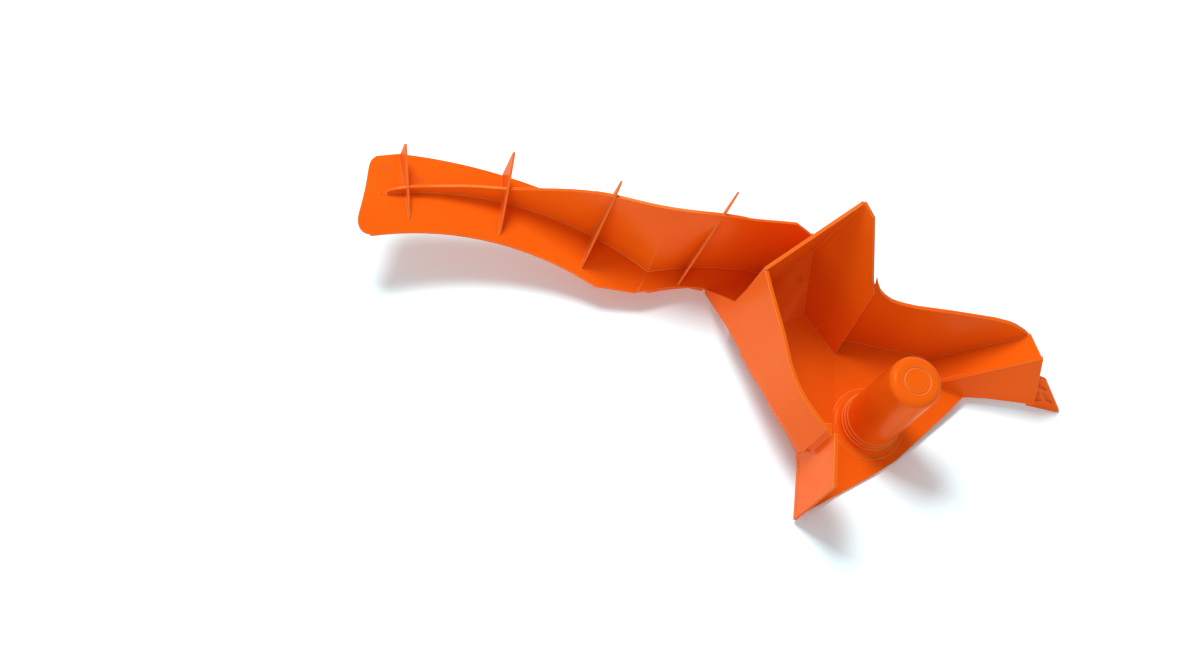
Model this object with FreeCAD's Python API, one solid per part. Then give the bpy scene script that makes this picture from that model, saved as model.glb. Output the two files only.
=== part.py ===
import FreeCAD, Part
import math
import os

V = FreeCAD.Vector
os.makedirs("parts", exist_ok=True)

# Driving dimensions in mm, in the moulding's own directions:
# across (u), back (v) and along the grip (w), from the middle of the grip's foot.
wall = 2.8
arm_wall = 2.4
thin_wall = 2.0
fin_wall = 1.6

# grip post
post_height = 107.0
post_foot_r = 22.3
post_top_r = 20.8
post_round = 6.0
flare_r = 28.5
step_heights = [7.0, 11.5, 16.0]
step_radii = [24.0, 23.45, 22.9]
cap_ring_r = 11.0
cap_ring_depth = 0.6

# floor
floor_front_left = (-30.7, -61.4)
floor_front = [(-17.2, -53.5), (2.3, -42.0), (23.0, -28.3), (70.5, 16.3), (84.1, 30.2)]
floor_back_left = (-14.7, 69.3)
floor_back_right = (55.0, 59.5)
floor_right = (53.8, 36.4)
crease_back = (-25.3, 56.1)
left_slope = 0.275

# side wall, flap and rim
rim_front = 97.0
rim_corner = 93.0
rim_back = 90.0
tower_top = 128.0
joint_top = 84.0
flap_front = (-65.9, -83.1)
flap_back = (-61.9, -44.0)
side_plan = [(-67.8, -39.4), (-77.9, -25.3), (-84.7, -14.4), (-89.6, -3.5), (-94.3, 12.3),
             (-97.6, 30.0), (-102.3, 50.0), (-110.6, 84.5), (-114.6, 126.0)]
side_low = [(-39.4, 35.3), (-25.0, 36.9), (-15.0, 36.6), (0.0, 31.0), (12.0, 24.0),
            (30.0, 8.3), (45.0, 0.0), (50.5, -4.6), (53.0, -1.6), (82.0, -19.0), (126.0, -63.0)]
side_shoulder = 12.0
tower_back = (-42.4, 130.3)

# slanted panels of the hopper
web_low = (-25.3, 56.1, 0.0)
web_top = (-42.4, 130.3, 128.0)
web_mid = (-61.5, 117.4, 61.0)
back_left = (-108.5, 85.9, 9.2)
back_low = (-53.0, 83.5, 7.8)
low_left = (-101.5, 55.2, 20.9)

# right arm
back_wall_lean = (-16.1, 82.4, 69.3)
ramp_top = (115.2, 62.4, 60.4)
skirt_low = (136.7, 14.6)

# long arm
arm_level = -58.0
arch_sag = 4.0
arch_half = 35.0
crest = 0.7
lobe_step = 0.15
lobe_1 = (-329.1, -88.8)
lobe_1_r = 280.5
lobe_2 = (-93.8, -108.6)
lobe_2_r = 256.1
front_offset = 33.0
front_offset_2 = 15.5
curtain = [(-10.81, -54.2), (-9.58, -51.2), (-3.86, -47.2), (2.62, -40.5), (9.05, -31.2),
           (12.9, -20.3), (16.66, -6.8), (22.01, 12.9), (23.11, 16.5)]
curtain_mid = [(-47.3, 28.4, 21.1), (-32.0, 23.1, 27.1), (-3.0, 15.0, 36.2),
               (22.2, 10.6, 43.8), (36.0, 9.4, 45.8)]
soft_run = (14.13, 12.85)
curtain_2 = [(-3.4, 42.9), (-1.7, 41.9), (0.63, 41.6), (2.78, 42.5), (5.76, 44.6)]
curtain_end = (9.39, 31.1)
arm_tip = [(-31.2, -15.09), (-27.6, -16.28), (-20.3, -16.64), (-12.3, -16.04), (-1.8, -14.93),
           (9.8, -13.91), (22.1, -13.04), (31.8, -12.22), (35.9, -11.14)]
arm_back = [(22.6, 15.13), (36.7, -7.88)]
fins = [((-22.2, -7.34), (30.6, -7.74), -30.0, 3.0, (25.0, -44.5)),
        ((-27.8, 9.43), (22.2, 8.17), -8.0, 3.0, (28.8, -26.0))]
fin_3 = ((-29.1, -10.22), (10.4, -11.35), 32.0, 3.0, (30.0, 25.0))
fin_4 = ((-14.3, 5.33), (16.2, 10.28), 60.0, -7.0, (23.0, 49.0))
front_stop = 6.17

# stance: the direction that points straight up when the piece lies at rest
up = (-0.1712, 0.2973, 0.9393)


def plate(points, push):
    """flat polygon pushed through by one vector"""
    pts = [V(*p) for p in points]
    face = Part.Face(Part.makePolygon(pts + [pts[0]]))
    return face.extrude(V(*push))


def height_on(a, b, c):
    """height of the plane through three points, as a function of the plan position"""
    n = (V(*b) - V(*a)).cross(V(*c) - V(*a))
    return lambda u, v: a[2] - (n.x * (u - a[0]) + n.y * (v - a[1])) / n.z


def depth_on(a, b, c):
    """distance back of the plane through three points, from across and height"""
    n = (V(*b) - V(*a)).cross(V(*c) - V(*a))
    return lambda u, w: a[1] - (n.x * (u - a[0]) + n.z * (w - a[2])) / n.y


def spline(points):
    curve = Part.BSplineCurve()
    curve.interpolate(points)
    return curve


def band(points, thick, low, high, smooth=False):
    """upright band along plan points, its thickness to the left of the walking direction"""
    left = []
    for i, p in enumerate(points):
        a = points[max(i - 1, 0)]
        b = points[min(i + 1, len(points) - 1)]
        d1 = V(p[0] - a[0], p[1] - a[1], 0) if i else V(b[0] - p[0], b[1] - p[1], 0)
        d2 = V(b[0] - p[0], b[1] - p[1], 0) if i < len(points) - 1 else d1
        d1.normalize()
        d2.normalize()
        n1, n2 = V(-d1.y, d1.x, 0), V(-d2.y, d2.x, 0)
        m = n1 + n2
        m.normalize()
        k = thick / max(m.dot(n1), 0.5)
        left.append((p[0] + m.x * k, p[1] + m.y * k))
    if smooth:
        near = [V(x, y, low) for x, y in points]
        far = [V(x, y, low) for x, y in left[::-1]]
        edges = [spline(near).toShape(), Part.makeLine(near[-1], far[0]),
                 spline(far).toShape(), Part.makeLine(far[-1], near[0])]
        return Part.Face(Part.Wire(edges)).extrude(V(0, 0, high - low))
    ring = [(x, y, low) for x, y in list(points) + left[::-1]]
    return plate(ring, (0, 0, high - low))


def side_cut(points, axis, low, high):
    """prism from an outline in (v, w) or (u, w), running along the other plan axis"""
    if axis == "u":
        return plate([(low, a, b) for a, b in points], (high - low, 0, 0))
    return plate([(a, low, b) for a, b in points], (0, high - low, 0))


def lerp(a, b, t):
    return a + (b - a) * t


# floor panel and the left panel that rises from its crease
slope = math.hypot(crease_back[0] - floor_front_left[0], crease_back[1] - floor_front_left[1])
nx = (crease_back[1] - floor_front_left[1]) / slope
ny = -(crease_back[0] - floor_front_left[0]) / slope


def left_level(u, v):
    return -left_slope * ((u - crease_back[0]) * nx + (v - crease_back[1]) * ny)


pieces = []
floor_pts = [crease_back, floor_front_left] + floor_front + [floor_right,
             (floor_back_right[0], floor_back_right[1] + 1.5),
             (floor_back_left[0] - 20.0, floor_back_left[1] + 4.3)]
pieces.append(plate([(u, v, 0.0) for u, v in floor_pts], (0, 0, -wall)))

foot_line = [flap_front, (-61.3, -30.0), (-72.0, -13.0), (-82.0, 0.0), (-90.0, 14.0),
             (-95.5, 33.0), (-101.0, 52.0)]
back_crease = [(low_left[0] - 2.0, low_left[1] + 0.8), (back_low[0] - 0.5, back_low[1] + 1.4),
               (-45.0, 79.4)]
left_pts = [crease_back, floor_front_left] + foot_line + back_crease
pieces.append(plate([(u, v, left_level(u, v)) for u, v in left_pts], (0, 0, -wall)))

# rear corner panel and the tall slanted web beside it
web_depth = depth_on(web_low, web_top, web_mid)


def web_pt(u, w):
    return (u, web_depth(u, w), w)


corner_panel = Part.makeRuledSurface(Part.makeLine(V(*web_mid), V(*back_left)),
                                     Part.makeLine(V(*web_pt(back_low[0], back_low[2])),
                                                   V(*low_left)))
pieces.append(corner_panel.extrude(V(0, 1.0, -wall)))

n1 = (V(*web_top) - V(*web_low)).cross(V(*web_mid) - V(*web_low))
n1.normalize()
if n1.y < 0:
    n1 = n1 * -1.0
web_pts = [web_pt(-25.6, -2.0), web_pt(-16.8, 71.3), web_pt(-20.9, 79.7), web_pt(-34.3, 123.3),
           web_pt(-42.0, 128.0), web_pt(-43.4, 128.0), web_pt(-62.6, 61.0), web_pt(-54.0, 5.6)]
pieces.append(plate(web_pts, tuple(n1 * wall)))

# back wall of the hopper, carrying the long arm
corner = side_plan[-2]
bw_end = (corner[0] + 1.4, corner[1] + 0.94)
bw = band([tower_back, bw_end], -wall, -80.0, tower_top + 5.0)
bw_side = [(corner[0] - 4.0, -16.0), (corner[0] + 0.6, -19.0), (-103.0, -38.0),
           (-94.0, -58.0), (-89.0, arm_level - 6.2), (-45.0, arm_level - 3.3),
           (-42.5, 0.0), (tower_back[0] + 4.0, 8.0), (tower_back[0] + 4.0, tower_top),
           (tower_back[0] - 3.0, tower_top), (corner[0], rim_back), (corner[0] - 4.0, rim_back)]
pieces.append(bw.common(side_cut(bw_side, "v", 60.0, 170.0)))

# side wall with its falling lower edge
side = band(side_plan[:-1][::-1], wall, -80.0, 140.0, smooth=True)
side = side.fuse(band(side_plan[-2:][::-1], wall, -80.0, 140.0))
side_top = [(126.5, arm_level + 1.0), (corner[1] + 4.9, side_shoulder),
            (corner[1] + 0.5, rim_back), (side_plan[4][1], rim_back),
            (side_plan[0][1] - 8.0, rim_corner)]
side_pts = [(side_plan[0][1] - 8.0, side_low[0][1])] + side_low[:-1]
side_pts += [(126.5, side_low[-1][1])] + side_top
pieces.append(side.common(side_cut(side_pts, "u", -150.0, -40.0)))

# front flap and its return behind the side wall
flap = band([(-61.6, -29.0), flap_back, flap_front], wall, -80.0, 140.0)
flap_side = [(flap_front[1], 3.0), (-29.0, 3.0), (-29.0, 38.0),
             (flap_back[1] + 2.5, rim_corner), (flap_back[1], rim_corner),
             (flap_front[1], rim_front)]
flap = flap.common(side_cut(flap_side, "u", -100.0, -40.0))
pieces.append(flap)
pieces.append(plate([(-67.0, -37.0, 42.0), (-60.5, -40.0, 42.0), (-60.5, -30.5, 42.0),
                     (-69.0, -30.5, 42.0)], (0, 0, joint_top - 42.0)))

# strip that closes the left panel against the side wall
side_in = [(-66.0, -37.0, 42.0), (-75.6, -23.6, 43.0), (-82.3, -13.2, 42.6),
           (-87.2, -2.9, 37.0), (-91.8, 12.6, 31.0), (-95.4, 30.4, 26.0)]
foot_in = [(u, v, left_level(u, v)) for u, v in
           [(-61.3, -30.0), (-72.0, -13.0), (-82.0, 0.0), (-90.0, 14.0), (-95.5, 33.0)]]
rows = [foot_in[0], foot_in[0]] + foot_in[1:]
for i in range(5):
    a, b = side_in[i], side_in[i + 1]
    c, d = rows[i], rows[i + 1]
    pieces.append(plate([a, b, d], (0, 0, -1.6 * wall)))
    if c != d:
        pieces.append(plate([a, d, c], (0, 0, -1.6 * wall)))

# leaning back wall behind the grip
lean_depth = depth_on((floor_back_left[0], floor_back_left[1], 0.0),
                      (floor_back_right[0], floor_back_right[1], 0.0), back_wall_lean)
wall_1 = [(-45.6, -wall), (58.0, -wall), (ramp_top[0] + 3.0, ramp_top[2] - 6.0),
          (116.0, 58.9), (111.5, 62.6), (106.3, 65.4), (101.0, 68.0), (95.3, 69.5),
          (82.9, 70.1), (50.7, 66.8), (22.0, 62.7), (12.9, 62.6), (6.0, 63.1), (0.2, 64.4),
          (-6.0, 68.0), (-11.9, 73.4), (-16.0, 80.0), (-20.5, 89.0), (-18.6, 80.0),
          (-17.4, 71.3)]
pieces.append(plate([(u, lean_depth(u, w), w) for u, w in wall_1], (0, wall, 0)))

# ramp to the right and the skirt under its front edge
ramp_level = height_on((floor_back_right[0], floor_back_right[1], 0.0),
                       (floor_right[0], floor_right[1], 0.0), ramp_top)
ramp_front = (121.6, 40.4)
ramp_pts = [floor_right, ramp_front, (ramp_top[0] + 1.0, ramp_top[1] + 1.5),
            (floor_back_right[0], floor_back_right[1] + 1.5)]
pieces.append(plate([(u, v, ramp_level(u, v)) for u, v in ramp_pts], (0, 0, -1.4 * wall)))

skirt_depth = depth_on((floor_right[0], floor_right[1], 0.0),
                       (floor_front[-1][0], floor_front[-1][1], 0.0),
                       (ramp_front[0], ramp_front[1], ramp_level(*ramp_front)))
top_w = ramp_level(*ramp_front)
skirt_pts = [(floor_right[0], -wall), (floor_front[-1][0] + 1.0, -wall), (100.0, 3.0),
             (skirt_low[0], skirt_low[1] - 3.0), (skirt_low[0] + 0.7, skirt_low[1] - 0.6),
             (ramp_front[0] + 0.5, top_w - 0.3), (floor_right[0] + 0.5, 1.0)]
pieces.append(plate([(u, skirt_depth(u, w), w) for u, w in skirt_pts], (0, wall, 0)))

# pocketed catch at the end of the skirt
catch_set = 2.4
catch_depth = 2.5
catch_floor = 1.1
catch = [(124.0, 41.4), (133.6, 41.3), (136.6, 40.3), (161.0, 8.8), (159.8, 7.2),
         (134.0, 4.8)]
block = plate([(u, skirt_depth(u, w) + catch_set, w) for u, w in catch], (0, catch_depth, 0))
pockets = [[(131.0, 39.4), (133.8, 39.2), (142.4, 28.6), (133.2, 31.2)],
           [(138.4, 26.4), (144.6, 25.6), (153.0, 15.6), (145.6, 17.6)],
           [(135.4, 26.6), (137.4, 26.6), (143.0, 15.6), (135.0, 10.6)]]
for pocket in pockets:
    cut = plate([(u, skirt_depth(u, w) + catch_set - 1.0, w) for u, w in pocket],
                (0, catch_depth - catch_floor + 1.0, 0))
    block = block.cut(cut)
pieces.append(block)

# long arm: arched plate following two circles
arch_r = (arch_half ** 2 + arch_sag ** 2) / (2 * arch_sag)


def sag(x):
    return arch_r - math.sqrt(arch_r ** 2 - x ** 2)


def arched_ring(centre, radius, level):
    lo, hi = -48.0, 44.0
    top = [V(centre[0], centre[1] + radius + crest + x, level - sag(x)) for x in (lo, 0.0, hi)]
    low = [p - V(0, 0, arm_wall) for p in top]
    edges = [Part.Arc(*top).toShape(), Part.makeLine(top[2], low[2]),
             Part.Arc(*low[::-1]).toShape(), Part.makeLine(low[0], top[0])]
    face = Part.Face(Part.Wire(edges))
    face.rotate(V(centre[0], centre[1], 0), V(0, 0, 1), 25.0)
    return face.revolve(V(centre[0], centre[1], 0), V(0, 0, 1), -75.0)


def polar(centre, radius, degrees):
    a = math.radians(degrees)
    return V(centre[0] + radius * math.sin(a), centre[1] + radius * math.cos(a), 0)


def drop(p):
    return V(p[0], p[1], -120.0)


dx, dy = lobe_2[0] - lobe_1[0], lobe_2[1] - lobe_1[1]
gap = math.hypot(dx, dy)
along = (lobe_1_r ** 2 - lobe_2_r ** 2 + gap ** 2) / (2 * gap)
off = math.sqrt(lobe_1_r ** 2 - along ** 2)
cusp = (lobe_1[0] + along * dx / gap - off * dy / gap,
        lobe_1[1] + along * dy / gap + off * dx / gap)
cusp_1 = math.degrees(math.atan2(cusp[0] - lobe_1[0], cusp[1] - lobe_1[1]))
cusp_2 = math.degrees(math.atan2(cusp[0] - lobe_2[0], cusp[1] - lobe_2[1]))
seam_front = (cusp[0] - 8.6, cusp[1] - 17.6)
seam_back = (cusp[0] + 9.5, cusp[1] + 22.0)
front_1 = lobe_1_r - front_offset

tip = [polar(lobe_1, lobe_1_r + off, a) for off, a in arm_tip]
back_1 = [polar(lobe_1, lobe_1_r + off, a) for off, a in arm_back]
f_start = polar(lobe_1, front_1, -14.7)
f_end = polar(lobe_1, front_1 - 2.8, cusp_1 - front_stop)
edges = [Part.Arc(drop(f_start), drop(polar(lobe_1, front_1 - 1.4, 8)), drop(f_end)).toShape(),
         Part.makeLine(drop(f_end), drop((cusp[0] - 9.6, cusp[1] - 18.2))),
         Part.makeLine(drop((cusp[0] - 9.6, cusp[1] - 18.2)), drop(seam_front)),
         Part.makeLine(drop(seam_front), drop(seam_back)),
         Part.Arc(drop(seam_back), drop(back_1[0]), drop(back_1[1])).toShape(),
         Part.makeLine(drop(back_1[1]), drop(tip[-1]))]
edges.append(spline([drop(p) for p in tip[::-1]]).toShape())
edges.append(Part.makeLine(drop(tip[0]), drop(f_start)))
outline_1 = Part.Face(Part.Wire(Part.__sortEdges__(edges))).extrude(V(0, 0, 120.0))
pieces.append(arched_ring(lobe_1, lobe_1_r, arm_level - lobe_step).common(outline_1))

front_2 = lobe_2_r - front_offset_2
g1_turn = cusp_2 - 0.86
g1 = polar(lobe_2, front_2, g1_turn)
back_2 = [polar(lobe_2, lobe_2_r + 6.5, 10.04), polar(lobe_2, lobe_2_r + 10.2, -2.19)]
g2 = polar(lobe_2, front_2 - 3.0, -5.2)
edges = [Part.makeLine(drop(seam_back), drop(seam_front)),
         Part.makeLine(drop(seam_front), drop(g1)),
         Part.Arc(drop(g1), drop(polar(lobe_2, front_2 - 0.5, (g1_turn - 5.2) / 2)),
                  drop(g2)).toShape(),
         Part.makeLine(drop(g2), drop((-90.0, 118.0))),
         Part.makeLine(drop((-90.0, 118.0)), drop((-67.0, 112.0))),
         Part.makeLine(drop((-67.0, 112.0)), drop((-44.0, 130.0))),
         Part.makeLine(drop((-44.0, 130.0)), drop(back_2[0])),
         Part.Arc(drop(back_2[0]), drop(back_2[1]), drop(seam_back)).toShape()]
outline_2 = Part.Face(Part.Wire(Part.__sortEdges__(edges))).extrude(V(0, 0, 120.0))
pieces.append(arched_ring(lobe_2, lobe_2_r, arm_level).common(outline_2))

# lip under the front edge of the second lobe
lip = [polar(lobe_2, front_2, lerp(g1_turn, -5.2, t)) for t in (0.0, 0.26, 0.51, 0.75)] + [g2]
lip_low = -6.5 - sag(front_offset_2)
lip_shape = band([(p.x, p.y) for p in lip][::-1], -wall, arm_level + lip_low,
                 arm_level - sag(front_offset_2) - 0.6)
pieces.append(lip_shape)


# curtain: upright wall that stands on the plate along both circles
def ring_wall(centre, radius, a0, a1):
    inner = Part.Arc(polar(centre, radius, a0), polar(centre, radius, (a0 + a1) / 2),
                     polar(centre, radius, a1)).toShape()
    far = radius + thin_wall
    outer = Part.Arc(polar(centre, far, a1), polar(centre, far, (a0 + a1) / 2),
                     polar(centre, far, a0)).toShape()
    ends = [Part.makeLine(polar(centre, radius, a1), polar(centre, far, a1)),
            Part.makeLine(polar(centre, far, a0), polar(centre, radius, a0))]
    face = Part.Face(Part.Wire([inner, ends[0], outer, ends[1]]))
    face.translate(V(0, 0, arm_level - 2.0))
    return face.extrude(V(0, 0, 150.0))


def curtain_cut(tops, finish):
    low = arm_level - 4.0
    edges = [spline([V(u, 0, w) for u, w in tops]).toShape()]
    last = V(tops[-1][0], 0, tops[-1][1])
    if finish:
        end = V(finish[0], 0, finish[1])
        edges.append(Part.makeLine(last, end))
        last = end
    edges.append(Part.makeLine(last, V(last.x, 0, low)))
    edges.append(Part.makeLine(V(last.x, 0, low), V(tops[0][0], 0, low)))
    edges.append(Part.makeLine(V(tops[0][0], 0, low), V(tops[0][0], 0, tops[0][1])))
    return Part.Face(Part.Wire(edges)).extrude(V(0, 260.0, 0))


soft_1, soft_2 = cusp_1 - soft_run[0], cusp_2 + soft_run[1]
tops_1 = [(polar(lobe_1, lobe_1_r, a).x, w) for a, w in curtain]
tops_2 = [(polar(lobe_2, lobe_2_r, a).x, w) for a, w in curtain_2]
pieces.append(ring_wall(lobe_1, lobe_1_r, curtain[0][0] - 0.4, soft_1 + 0.3).common(
    curtain_cut(tops_1, None)))
pieces.append(ring_wall(lobe_2, lobe_2_r, soft_2 - 0.3, curtain_end[0]).common(
    curtain_cut(tops_2, (polar(lobe_2, lobe_2_r, curtain_end[0]).x, curtain_end[1]))))

# between the circles the foot keeps a sharp corner while the top edge runs round it softly
soft_pts = [polar(lobe_1, lobe_1_r, soft_1) + V(0, 0, curtain[-2][1])]
soft_pts += [V(cusp[0] + du, cusp[1] + dv, w) for du, dv, w in curtain_mid]
soft_pts.append(polar(lobe_2, lobe_2_r, soft_2) + V(0, 0, curtain_2[0][1] - 0.3))
soft_top = spline(soft_pts)
split = soft_top.parameter(soft_pts[3])
for centre, radius, a0, a1, t0, t1 in (
        (lobe_1, lobe_1_r, soft_1, cusp_1, soft_top.FirstParameter, split),
        (lobe_2, lobe_2_r, cusp_2, soft_2, split, soft_top.LastParameter)):
    lift = V(0, 0, arm_level - 2.0)
    foot = Part.Arc(polar(centre, radius, a0) + lift, polar(centre, radius, (a0 + a1) / 2) + lift,
                    polar(centre, radius, a1) + lift).toShape()
    sheet = Part.makeRuledSurface(foot, soft_top.toShape(t0, t1))
    pieces.append(sheet.extrude(V(0, thin_wall * 1.2, 0)))
web_foot = polar(lobe_2, lobe_2_r + 1.9, curtain_end[0])
end_web = band([(web_foot.x, web_foot.y), (-43.6, 130.0)], thin_wall, arm_level - 3.0, 30.0)
pieces.append(end_web)


# fins across the arm
def fin(lobe, radius, foot, apex, height, back, knee):
    """thin upright plate from a foot point through an apex, with a knee in its top edge"""
    a = polar(lobe, radius + foot[0], foot[1])
    d = polar(lobe, radius + apex[0], apex[1]) - a
    run = d.Length
    d.normalize()
    side = V(d.y, -d.x, 0)

    def low(x):
        p = a + d * x
        return arm_level - sag(math.hypot(p.x - lobe[0], p.y - lobe[1]) - radius) - 1.6

    last = run + back
    outline = [(last * k, low(last * k)) for k in (0.0, 0.25, 0.5, 0.75, 1.0)]
    outline += [(last, low(last) + 2.6), (run + 1.0, height - 3.0), (run, height),
                (run - 2.0, height), knee, (0.0, low(0.0) + 2.0)]
    pts = []
    for x, w in outline:
        p = a + d * x - side * (fin_wall / 2)
        pts.append((p.x, p.y, w))
    return plate(pts, tuple(side * fin_wall))


def from_cusp(angle, foot, apex, *rest):
    return ((foot[0], angle + foot[1]), (apex[0], angle + apex[1])) + rest


for one in fins + [from_cusp(cusp_1, *fin_3)]:
    pieces.append(fin(lobe_1, lobe_1_r, *one))
pieces.append(fin(lobe_2, lobe_2_r, *from_cusp(cusp_2, *fin_4)))

# grip post, hollow from below
foot_out = V(flare_r + 1.0, 0, 0.35)
foot_in = V(step_radii[0] + 0.25, 0, step_heights[0] - 1.0)
foot_mid = V(lerp(foot_in.x, foot_out.x, 0.24), 0, lerp(foot_out.z, foot_in.z, 0.24))
steps = [(foot_in.x, foot_in.z), (step_radii[0], step_heights[0]),
         (step_radii[1] + 0.15, step_heights[0]), (step_radii[1], step_heights[1]),
         (step_radii[2] + 0.15, step_heights[1]), (step_radii[2], step_heights[2]),
         (post_foot_r, step_heights[2] + 0.4)]
pts = [V(r, 0, w) for r, w in steps]
shoulder = V(post_top_r, 0, post_height - post_round)
crown = V(post_top_r - post_round, 0, post_height)
k45 = post_round * (1.0 - math.sqrt(0.5))
middle = V(post_top_r - k45, 0, post_height - k45)
under = [V(0, 0, -wall), V(foot_out.x, 0, -wall), foot_out]
edges = [Part.makeLine(under[0], under[1]), Part.makeLine(under[1], under[2]),
         Part.Arc(foot_out, foot_mid, foot_in).toShape()]
edges += [Part.makeLine(pts[i], pts[i + 1]) for i in range(len(pts) - 1)]
edges += [Part.makeLine(pts[-1], shoulder), Part.Arc(shoulder, middle, crown).toShape(),
          Part.makeLine(crown, V(0, 0, post_height)), Part.makeLine(V(0, 0, post_height), under[0])]
post = Part.Face(Part.Wire(edges)).revolve(V(0, 0, 0), V(0, 0, 1), 360.0)
bore = Part.makeCone(post_foot_r - wall, post_top_r - wall - 0.4, post_height - 2 * wall,
                     V(0, 0, -wall - 0.5))
ring = Part.makeCylinder(cap_ring_r, cap_ring_depth + 1, V(0, 0, post_height - cap_ring_depth))
rest = Part.makeCylinder(cap_ring_r - 1.1, cap_ring_depth + 2,
                         V(0, 0, post_height - cap_ring_depth - 0.5))
post = post.cut(ring.cut(rest))
pieces.append(post)

body = pieces[0].multiFuse(pieces[1:], 0.001)
body = body.cut(bore)
body = body.removeSplitter()
print("solids", len(body.Solids), "valid", body.isValid())

# lie it down as it rests, the grip leaning towards the front
z = V(*up)
z.normalize()
x = V(1, 0, 0) - z * z.x
x.normalize()
y = z.cross(x)
turn = FreeCAD.Matrix(x.x, x.y, x.z, 0, y.x, y.y, y.z, 0, z.x, z.y, z.z, 0, 0, 0, 0, 1)
body = body.transformed(turn, True)
box = body.optimalBoundingBox(False)
body.translate(V(-(box.XMin + box.XMax) / 2, -(box.YMin + box.YMax) / 2, -box.ZMin))
print("shift", -(box.XMin + box.XMax) / 2, -(box.YMin + box.YMax) / 2, -box.ZMin)
body.exportStep("parts/mulching_plug.step")
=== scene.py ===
import bpy
import bmesh
import math
from mathutils import Matrix, Vector
from mathutils.bvhtree import BVHTree


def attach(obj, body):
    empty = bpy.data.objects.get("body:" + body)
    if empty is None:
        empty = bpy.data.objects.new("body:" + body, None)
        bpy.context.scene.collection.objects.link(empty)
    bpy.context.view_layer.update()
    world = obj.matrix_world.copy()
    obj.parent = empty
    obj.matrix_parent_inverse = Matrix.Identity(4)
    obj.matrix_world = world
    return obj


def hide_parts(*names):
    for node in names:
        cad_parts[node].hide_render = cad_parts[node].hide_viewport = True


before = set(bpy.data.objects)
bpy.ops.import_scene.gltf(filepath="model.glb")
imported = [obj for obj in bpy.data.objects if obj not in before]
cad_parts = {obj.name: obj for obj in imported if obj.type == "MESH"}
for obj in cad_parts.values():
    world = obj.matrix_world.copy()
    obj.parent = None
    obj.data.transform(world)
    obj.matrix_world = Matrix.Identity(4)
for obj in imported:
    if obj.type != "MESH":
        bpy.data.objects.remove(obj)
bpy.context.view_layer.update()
print("frame loaded")

mm = 0.001  # in the scene's metres

# where the moulding's own directions (across, back, along the grip; mm) lie in the scene
stance = {"up": (-0.1712, 0.2973, 0.9393), "shift": (119.1957, -62.9750, 15.6321)}

upward = Vector(stance["up"]).normalized()
sideways = (Vector((1, 0, 0)) - upward * upward.x).normalized()
turn = Matrix((sideways, upward.cross(sideways), upward))
shift = Vector(stance["shift"])


def direction(d):
    return turn @ Vector(d)


def place(p):
    return (turn @ Vector(p) + shift) * mm


# the photograph's camera, in the moulding's own directions, and its frame in pixels
cameraSpot = {"at": (-543.9, -486.4, 1423.0), "right": (0.97468, 0.0, 0.22359),
              "down": (0.07851, -0.93633, -0.34223), "lens": 60.0, "sensor": 36.0,
              "frame": (1200.0, 660.0), "clipEnd": 20.0}

eye = place(cameraSpot["at"])
right = direction(cameraSpot["right"])
down = direction(cameraSpot["down"])
ahead = right.cross(down).normalized()


def colour(code):
    parts = [int(code[i:i + 2], 16) / 255 for i in (0, 2, 4)]
    return tuple(c / 12.92 if c <= 0.04045 else ((c + 0.055) / 1.055) ** 2.4
                 for c in parts) + (1.0,)


def addNode(tree, kind, values=None, links=None, **props):
    node = tree.nodes.new(kind)
    for key, value in props.items():
        setattr(node, key, value)
    for key, value in (values or {}).items():
        node.inputs[key].default_value = value
    for key, source in (links or {}).items():
        tree.links.new(source, node.inputs[key])
    return node


def newMaterial(name):
    mat = bpy.data.materials.new(name)
    mat.use_nodes = True
    mat.node_tree.nodes.clear()
    return mat


def addObject(name, mesh, material):
    thing = bpy.data.objects.new(name, mesh)
    bpy.context.scene.collection.objects.link(thing)
    mesh.materials.clear()
    mesh.materials.append(material)
    return thing


def meshOf(bm, name):
    mesh = bpy.data.meshes.new(name)
    bm.to_mesh(mesh)
    bm.free()
    return mesh


# the rim colour is a pale orange painted on the edges as a highlight
plastic = {"colour": "F0640F", "deep": "D94A08", "bodyTone": 0.2,
           "rim": "FFB062", "rimFacing": (0.995, 0.8), "rimShare": 0.8,
           "edgeMm": 0.9, "edgeSamples": 6,
           "roughness": (0.17, 0.27), "ior": 1.49, "specular": 0.24, "tint": "FFA468",
           "waveMm": 60.0, "waveDepthMm": 2.0, "waveStrength": 0.15, "waveRange": (0.3, 0.7),
           "grainMm": 0.45, "grainDepthMm": 0.2, "grainStrength": 0.04, "detail": 2.0,
           "through": 0.0, "glow": "FFA45C"}
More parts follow.
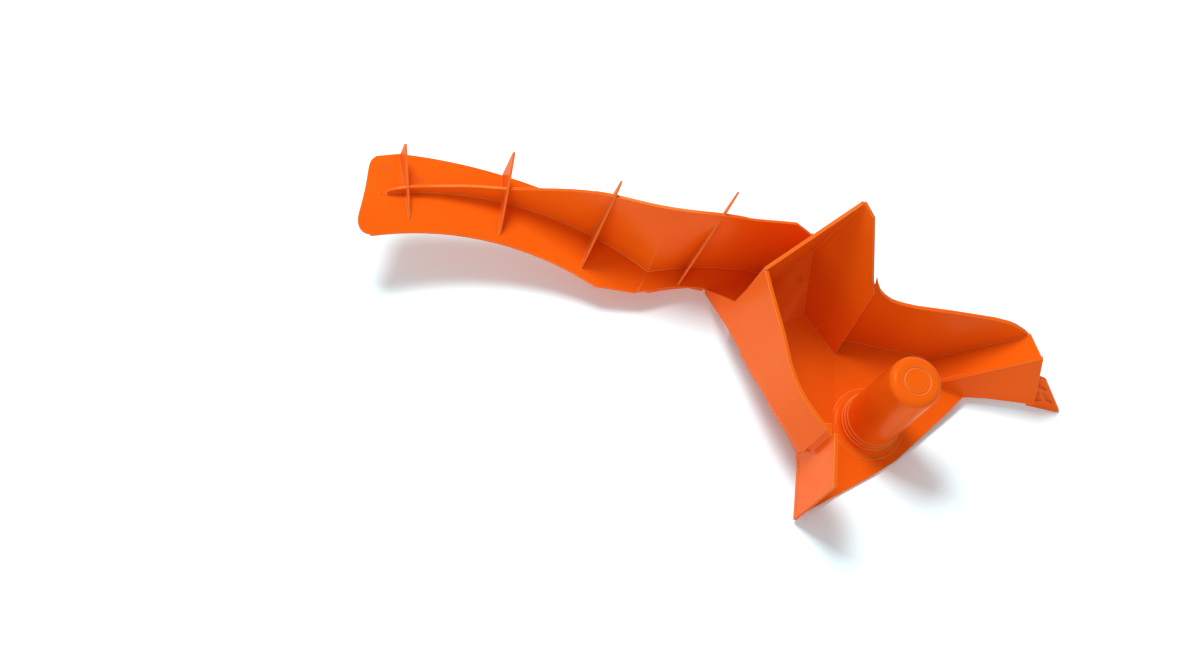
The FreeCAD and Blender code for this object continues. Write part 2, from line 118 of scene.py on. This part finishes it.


# Polypropylene shot into a polished steel mould: a satin skin with broad soft reflections
# and slow waves where the melt cooled; the edges carry a painted highlight, a paler orange mixed
# in.
# The mould's own grain is finer than this, and is drawn as coarse as it needs to show.
def polypropylene(name, look):
    mat = newMaterial(name)
    tree = mat.node_tree
    coord = addNode(tree, "ShaderNodeTexCoord").outputs["Object"]
    # painted edge highlight: a paler orange mixed in where the rounded normal leaves the flat one
    edge = addNode(tree, "ShaderNodeBevel", {"Radius": look["edgeMm"] * mm},
                   samples=look["edgeSamples"])
    flat = addNode(tree, "ShaderNodeNewGeometry")
    facing = addNode(tree, "ShaderNodeVectorMath",
                     links={0: edge.outputs["Normal"], 1: flat.outputs["Normal"]},
                     operation="DOT_PRODUCT")
    rim = addNode(tree, "ShaderNodeMapRange",
                  {"From Min": look["rimFacing"][0], "From Max": look["rimFacing"][1],
                   "To Min": 0.0, "To Max": look["rimShare"]},
                  {"Value": facing.outputs["Value"]})
    wave = addNode(tree, "ShaderNodeTexNoise",
                   {"Scale": 1 / (look["waveMm"] * mm), "Detail": look["detail"]},
                   {"Vector": coord})
    grain = addNode(tree, "ShaderNodeTexNoise",
                    {"Scale": 1 / (look["grainMm"] * mm), "Detail": look["detail"]},
                    {"Vector": coord})
    share = addNode(tree, "ShaderNodeMapRange",
                    {"From Min": look["waveRange"][0], "From Max": look["waveRange"][1],
                     "To Min": 0.0, "To Max": look["bodyTone"]},
                    {"Value": wave.outputs["Fac"]})
    tone = addNode(tree, "ShaderNodeMix", {6: colour(look["colour"]), 7: colour(look["deep"])},
                   {0: share.outputs["Result"]}, data_type="RGBA")
    # painted highlight: the pale edge colour laid over the body tone
    toneAndEdgeHighlight = addNode(tree, "ShaderNodeMix", {7: colour(look["rim"])},
                       {0: rim.outputs["Result"], 6: tone.outputs[2]}, data_type="RGBA")
    gloss = addNode(tree, "ShaderNodeMapRange",
                    {"From Min": look["waveRange"][0], "From Max": look["waveRange"][1],
                     "To Min": look["roughness"][0], "To Max": look["roughness"][1]},
                    {"Value": wave.outputs["Fac"]})
    fine = addNode(tree, "ShaderNodeBump",
                   {"Strength": look["grainStrength"], "Distance": look["grainDepthMm"] * mm},
                   {"Height": grain.outputs["Fac"], "Normal": edge.outputs["Normal"]})
    wavy = addNode(tree, "ShaderNodeBump",
                   {"Strength": look["waveStrength"], "Distance": look["waveDepthMm"] * mm},
                   {"Height": wave.outputs["Fac"], "Normal": fine.outputs["Normal"]})
    skin = addNode(tree, "ShaderNodeBsdfPrincipled",
                   {"IOR": look["ior"], "Specular IOR Level": look["specular"],
                    "Specular Tint": colour(look["tint"])},
                   {"Base Color": toneAndEdgeHighlight.outputs[2], "Roughness": gloss.outputs["Result"],
                    "Normal": wavy.outputs["Normal"]})
    surface = skin.outputs["BSDF"]
    if look["through"]:
        glow = addNode(tree, "ShaderNodeBsdfTranslucent", {"Color": colour(look["glow"])})
        surface = addNode(tree, "ShaderNodeMixShader", {0: look["through"]},
                          {1: surface, 2: glow.outputs["BSDF"]}).outputs[0]
    addNode(tree, "ShaderNodeOutputMaterial", links={"Surface": surface})
    return mat


moulding = {"weld": 0.01 * mm, "smoothUpTo": 28.0}  # metres and degrees

# thin enough to let some light through; the fins are also painted a lighter orange than the body,
# as painted light
paintedLighterFinPlastic = dict(plastic, colour="FF8430", deep="FF6A1A", through=0.35)

# each fin's line across the arm, as foot and end (across, back), its half width,
# the level that it stands above and how far past its ends its faces reach
finLines = {"lines": [((-362.1, 167.4), (-371.0, 219.5)), ((-287.7, 160.5), (-286.1, 210.8)),
                      ((-219.9, 137.6), (-207.9, 175.7)), ((-137.5, 129.2), (-119.7, 162.5))],
            "half": 1.2, "above": -56.5, "past": 6.0}


def isOnFin(spot, look):
    if spot.z <= look["above"]:
        return False
    for foot, end in look["lines"]:
        run = Vector(end) - Vector(foot)
        away = spot.xy - Vector(foot)
        reach = away.dot(run.normalized())
        beside = abs(away.x * run.y - away.y * run.x) / run.length
        if beside < look["half"] and -look["past"] < reach < run.length + look["past"]:
            return True
    return False


# the moulding itself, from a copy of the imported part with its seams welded
bodyMaterial = polypropylene("moulded orange polypropylene", plastic)
# the fins' lighter orange is painted light
paintedLighterFinMaterial = polypropylene("moulded orange polypropylene, thin fins", paintedLighterFinPlastic)
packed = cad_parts["mulching_plug"]
plugMoulding = addObject("plugMoulding", packed.data.copy(), bodyMaterial)
plugMoulding.data.materials.append(paintedLighterFinMaterial)
shell = bmesh.new()
shell.from_mesh(plugMoulding.data)
bmesh.ops.remove_doubles(shell, verts=shell.verts, dist=moulding["weld"])
bmesh.ops.recalc_face_normals(shell, faces=shell.faces)
crease = math.radians(moulding["smoothUpTo"])
for edge in shell.edges:
    edge.smooth = len(edge.link_faces) == 2 and edge.calc_face_angle(math.pi) < crease
turnBack = turn.transposed()
for face in shell.faces:
    face.smooth = True
    spot = turnBack @ (face.calc_center_median() / mm - shift)
    face.material_index = 1 if isOnFin(spot, finLines) else 0
shell.to_mesh(plugMoulding.data)
skinTree = BVHTree.FromBMesh(shell)
shell.free()
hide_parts("mulching_plug")
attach(plugMoulding, "root")
print("moulding ready")

# the small fillet at the curtain's foot, painted a paler orange as a painted highlight, a thin
# pale line;
# each lobe's run goes clockwise, in degrees from straight back
paintedHighlightBeadPlastic = dict(plastic, colour="FF9A4E", deep="FF8A3C")
curtainBeadLook = {
    "thick": 0.55, "segments": 8, "step": 1.0, "level": -57.9,
    "runs": [{"centre": (-329.1, -88.8), "radius": 281.0, "first": -10.6, "last": 35.9},
             {"centre": (-93.8, -108.6), "radius": 256.6, "first": -15.6, "last": 9.2}]}


def addBead(bm, run, look):
    verts = bmesh.ops.create_circle(bm, segments=look["segments"], radius=look["thick"])["verts"]
    hoop = list({e for v in verts for e in v.link_edges})
    upright = Matrix.Rotation(math.pi / 2, 3, "Y")
    start = Matrix.Rotation(math.radians(-run["first"]), 3, "Z")
    bmesh.ops.rotate(bm, verts=verts, cent=(0, 0, 0), matrix=upright)
    bmesh.ops.translate(bm, verts=verts, vec=(0, run["radius"], 0))
    bmesh.ops.rotate(bm, verts=verts, cent=(0, 0, 0), matrix=start)
    bmesh.ops.translate(bm, verts=verts, vec=(*run["centre"], look["level"]))
    bmesh.ops.spin(bm, geom=verts + hoop, cent=(*run["centre"], 0), axis=(0, 0, 1),
                   angle=math.radians(run["first"] - run["last"]),
                   steps=int((run["last"] - run["first"]) / look["step"]))


beads = bmesh.new()
for run in curtainBeadLook["runs"]:
    addBead(beads, run, curtainBeadLook)
intoScene = Matrix.Scale(mm, 4) @ Matrix.Translation(shift) @ turn.to_4x4()
bmesh.ops.transform(beads, matrix=intoScene, verts=beads.verts)
bmesh.ops.recalc_face_normals(beads, faces=beads.faces)
# the bead's paler orange is a painted highlight
curtainBead = addObject("curtainBead", meshOf(beads, "curtainBead"),
                        polypropylene("moulded orange polypropylene, fillet", paintedHighlightBeadPlastic))
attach(curtainBead, "root")
print("curtain bead ready")

# marks left by the mould: ejector rings, dials with bars and small pips, each placed
# where the photograph shows it, as a pixel and a radius in mm
mouldMarksLook = {
    "rings": [((382.5, 219.2), 6.4), ((445.0, 204.4), 6.4)],
    "dials": [((385.4, 167.6), 5.6), ((420.0, 180.6), 5.6), ((798.0, 279.0), 5.6)],
    "pips": [((380.2, 192.9), 1.6), ((783.3, 359.5), 1.7), ((794.7, 399.3), 1.7)],
    "ringSegments": 40, "line": 0.5, "rise": 0.18, "sunk": 0.1,
    "bars": (-0.5, -0.25, 0.0, 0.25, 0.5), "barWide": 0.4, "barShare": 0.72,
    "pipSegments": (16, 8), "pipRise": 0.5}


# the place on the moulding under a pixel of the photograph, with z out of the skin, in mm
def seenAt(px, py):
    focal = cameraSpot["lens"] / cameraSpot["sensor"] * cameraSpot["frame"][0]
    middle = Vector(cameraSpot["frame"]) / 2
    ray = (right * (px - middle.x) / focal + down * (py - middle.y) / focal + ahead).normalized()
    spot, normal = skinTree.ray_cast(eye, ray)[:2]
    z = normal if normal.dot(ray) < 0 else -normal
    x = direction((1, 0, 0))
    x = (x - z * x.dot(z)).normalized()
    onSkin = Matrix((x, z.cross(x), z)).transposed().to_4x4()
    onSkin.translation = spot
    return onSkin @ Matrix.Scale(mm, 4)


def addRing(bm, spot, radius, look):
    verts = bmesh.ops.create_circle(bm, cap_ends=True, segments=look["ringSegments"],
                                    radius=radius)["verts"]
    disc = verts[0].link_faces[0]
    band = bmesh.ops.inset_region(bm, faces=[disc], thickness=look["line"])["faces"]
    bmesh.ops.delete(bm, geom=[disc], context="FACES_ONLY")
    raised = bmesh.ops.extrude_face_region(bm, geom=band)["geom"]
    lifted = [g for g in raised if isinstance(g, bmesh.types.BMVert)]
    bmesh.ops.translate(bm, verts=lifted, vec=(0, 0, look["rise"] + look["sunk"]))
    everything = list({v for f in band if f.is_valid for v in f.verts} | set(lifted) | set(verts))
    bmesh.ops.translate(bm, verts=everything, vec=(0, 0, -look["sunk"]))
    bmesh.ops.transform(bm, matrix=spot, verts=everything)


def addBar(bm, spot, radius, offset, look):
    chord = 2 * radius * math.sqrt(1 - offset * offset) * look["barShare"]
    verts = bmesh.ops.create_cube(bm, size=1.0)["verts"]
    bmesh.ops.scale(bm, verts=verts, vec=(chord, look["barWide"], look["rise"]))
    bmesh.ops.translate(bm, verts=verts, vec=(0, offset * radius, look["rise"] / 2))
    bmesh.ops.transform(bm, matrix=spot, verts=verts)


def addPip(bm, spot, radius, look):
    around, along = look["pipSegments"]
    verts = bmesh.ops.create_uvsphere(bm, u_segments=around, v_segments=along,
                                      radius=radius)["verts"]
    bmesh.ops.scale(bm, verts=verts, vec=(1, 1, look["pipRise"] / radius))
    bmesh.ops.transform(bm, matrix=spot, verts=verts)


marks = bmesh.new()
for pixel, radius in mouldMarksLook["rings"] + mouldMarksLook["dials"]:
    addRing(marks, seenAt(*pixel), radius, mouldMarksLook)
for pixel, radius in mouldMarksLook["dials"]:
    for offset in mouldMarksLook["bars"]:
        addBar(marks, seenAt(*pixel), radius, offset, mouldMarksLook)
for pixel, radius in mouldMarksLook["pips"]:
    addPip(marks, seenAt(*pixel), radius, mouldMarksLook)
bmesh.ops.recalc_face_normals(marks, faces=marks.faces)
mouldMarks = addObject("mouldMarks", meshOf(marks, "mouldMarks"), bodyMaterial)
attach(mouldMarks, "root")
print("mould marks ready")

# the camera sees a cool white card, and glossy rays see a warm one, as through a tinted reflector
stageLook = {"halfSize": 4.0, "seenFloor": (0.98, 1.24, 1.3, 1.0), "floor": (1.0, 1.0, 1.0, 1.0),
             "glossyFloor": (1.0, 0.6, 0.4, 1.0), "worldLight": (0.5, 0.5, 0.5, 1.0),
             "glossyWorld": (0.75, 0.4, 0.25, 1.0), "worldSeen": (1.0, 1.0, 1.0, 1.0)}


# one colour for the camera, one for reflections and one for all other light
def colourByRay(tree, seen, glossy, other):
    path = addNode(tree, "ShaderNodeLightPath")
    unseen = addNode(tree, "ShaderNodeMix", {6: other, 7: glossy},
                     {0: path.outputs["Is Glossy Ray"]}, data_type="RGBA")
    tint = addNode(tree, "ShaderNodeMix", {7: seen},
                   {0: path.outputs["Is Camera Ray"], 6: unseen.outputs[2]}, data_type="RGBA")
    return tint.outputs[2]


# uncoated board: matt, with no reflection of its own
def whiteCard(look):
    mat = newMaterial("matt white card")
    tree = mat.node_tree
    tint = colourByRay(tree, look["seenFloor"], look["glossyFloor"], look["floor"])
    sheet = addNode(tree, "ShaderNodeBsdfDiffuse", links={"Color": tint})
    addNode(tree, "ShaderNodeOutputMaterial", links={"Surface": sheet.outputs[0]})
    return mat


ground = bmesh.new()
bmesh.ops.create_grid(ground, x_segments=1, y_segments=1, size=stageLook["halfSize"])
floor = addObject("floor", meshOf(ground, "floor"), whiteCard(stageLook))

world = bpy.data.worlds.new("white room")
bpy.context.scene.world = world
world.use_nodes = True
world.node_tree.nodes.clear()
roomTint = colourByRay(world.node_tree, stageLook["worldSeen"], stageLook["glossyWorld"],
                       stageLook["worldLight"])
sky = addNode(world.node_tree, "ShaderNodeBackground", links={"Color": roomTint})
addNode(world.node_tree, "ShaderNodeOutputWorld", links={"Surface": sky.outputs[0]})

# square lamps, in metres and watts, each turned to the middle of the floor
lamps = {
    "key": {"at": (-0.52, 0.38, 2.5), "size": 0.85, "power": 44.0},
    "front": {"at": (-2.4, -2.6, 1.3), "size": 1.2, "power": 14.0}}

for name, lamp in lamps.items():
    light = bpy.data.lights.new(name, "AREA")
    light.shape = "SQUARE"
    light.size = lamp["size"]
    light.energy = lamp["power"]
    lampObject = bpy.data.objects.new(name, light)
    lampObject.location = lamp["at"]
    lampObject.rotation_euler = (-Vector(lamp["at"])).to_track_quat("-Z", "Y").to_euler()
    bpy.context.scene.collection.objects.link(lampObject)
print("stage ready")

# camera at the photograph's place
lens = bpy.data.cameras.new("camera")
lens.lens = cameraSpot["lens"]
lens.sensor_width = cameraSpot["sensor"]
lens.clip_end = cameraSpot["clipEnd"]
camera = bpy.data.objects.new("camera", lens)
bpy.context.scene.collection.objects.link(camera)
aim = Matrix((right, -down, -ahead)).transposed().to_4x4()
aim.translation = eye
camera.matrix_world = aim
bpy.context.scene.camera = camera
bpy.context.scene.view_settings.view_transform = "Standard"
print("camera ready")
